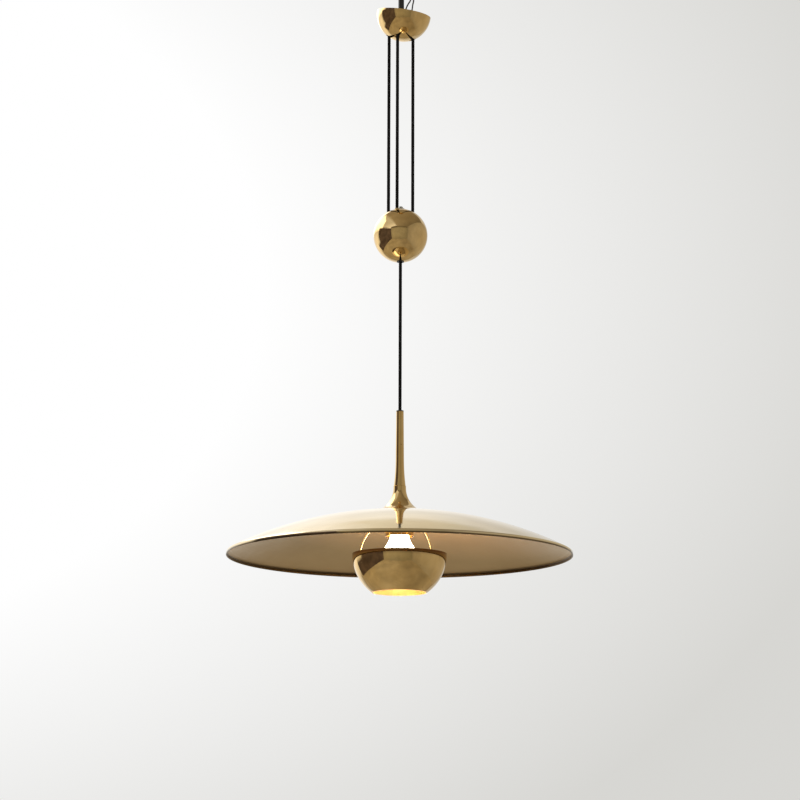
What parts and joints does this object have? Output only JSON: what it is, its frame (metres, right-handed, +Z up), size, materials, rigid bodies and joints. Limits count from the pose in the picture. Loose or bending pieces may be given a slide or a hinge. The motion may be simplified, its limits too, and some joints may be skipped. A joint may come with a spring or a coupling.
{
  "type": "rise-and-fall pendant lamp",
  "caption": "Brass pendant lamp with a shallow dome shade and a trumpet stem, hung on one cord that runs over pulleys in a ceiling cup and a ball counterweight.",
  "frame": {"origin": "centre of the hanging eye's hole", "axes": "+Z up along the cord, -Y towards the viewer of the picture, +X to the viewer's right"},
  "size_m": [0.55, 0.55, 1.0285],
  "materials": {
    "polished_brass": "polished, lacquered",
    "shade_brass": "spun and polished",
    "plain_brass": "plain turned",
    "core_metal": "as cast",
    "blackened_steel": "black",
    "zinc_steel": "zinc plated",
    "black_plastic": "moulded",
    "pulley_nylon": "moulded",
    "lead_sleeve": "satin sleeve",
    "black_cord": "woven sleeve",
    "holder_porcelain": "glazed",
    "opal_glass": "opal, lit"
  },
  "bodies": {
    "ceiling_set": {"hanger_strap": "blackened_steel", "canopy_axle": "zinc_steel", "canopy_spacer": "plain_brass", "canopy_clip": "zinc_steel", "cord_clamp": "black_plastic", "clamp_screws": "zinc_steel", "terminal_block": "black_plastic", "block_screws": "zinc_steel", "supply_lead_line": "lead_sleeve", "supply_lead_neutral": "lead_sleeve", "strand_anchor": "black_cord", "strand_return": "black_cord", "strand_feed": "black_cord", "canopy_wrap": "black_cord"},
    "cup_set": {"canopy_cup": "polished_brass", "canopy_lugs": "plain_brass", "pivot_bar": "zinc_steel"},
    "canopy_wheel": {"canopy_pulley": "pulley_nylon", "canopy_bush": "plain_brass"},
    "counterweight": {"weight_core": "core_metal", "weight_shell_upper": "polished_brass", "weight_shell_lower": "polished_brass", "weight_bridge": "zinc_steel", "bridge_screws": "zinc_steel", "ball_washer": "zinc_steel", "ball_nut": "zinc_steel", "weight_axle": "zinc_steel", "guide_tube": "plain_brass", "exit_bush": "black_plastic", "weight_wrap": "black_cord", "guide_run": "black_cord"},
    "weight_wheel": {"weight_pulley": "pulley_nylon", "weight_bush": "plain_brass"},
    "lamp": {"shade": "shade_brass", "trumpet_base": "polished_brass", "stem_tube": "polished_brass", "cord_grip": "black_plastic", "stem_nipple": "zinc_steel", "shade_washer": "zinc_steel", "nipple_nut": "zinc_steel", "holder_cup": "polished_brass", "lampholder": "holder_porcelain", "screw_shell": "plain_brass", "centre_contact": "plain_brass", "bulb_cap": "plain_brass", "bulb_glass": "opal_glass", "reflector_bowl": "polished_brass", "reflector_wire_left": "polished_brass", "reflector_wire_right": "polished_brass", "reflector_wire_back": "polished_brass", "wire_ring": "polished_brass", "reflector_lugs": "polished_brass", "strand_lower": "black_cord"}
  },
  "joints": [
    {"name": "canopy_tilt", "type": "hinge", "parent": "ceiling_set", "child": "cup_set", "pos_m": [0, 0, -0.076], "axis": [0.8192, 0.5736, 0], "range_deg": [-27.8, 0]},
    {"name": "weight_slide", "type": "slide", "parent": "ceiling_set", "child": "counterweight", "axis": [0, 0, 1], "range_m": [-0.075, 0.28], "deforming": ["strand_anchor", "strand_return", "strand_feed"]},
    {"name": "lamp_slide", "type": "slide", "parent": "counterweight", "child": "lamp", "axis": [0, 0, 1], "range_m": [-0.84, 0.225], "deforming": ["strand_lower"]},
    {"name": "canopy_pulley_spin", "type": "hinge", "parent": "ceiling_set", "child": "canopy_wheel", "pos_m": [0.0071, -0.00903, -0.057], "axis": [0.5736, -0.8192, 0], "continuous": true},
    {"name": "weight_pulley_spin", "type": "hinge", "parent": "counterweight", "child": "weight_wheel", "pos_m": [0, 0, -0.421], "axis": [0, -1, 0], "continuous": true}
  ],
  "couplings": [
    {"joint": "lamp_slide", "follows": "weight_slide", "ratio": -3},
    {"joint": "canopy_pulley_spin", "follows": "weight_slide", "rad_per_m": 126.98},
    {"joint": "weight_pulley_spin", "follows": "weight_slide", "rad_per_m": 50}
  ]
}
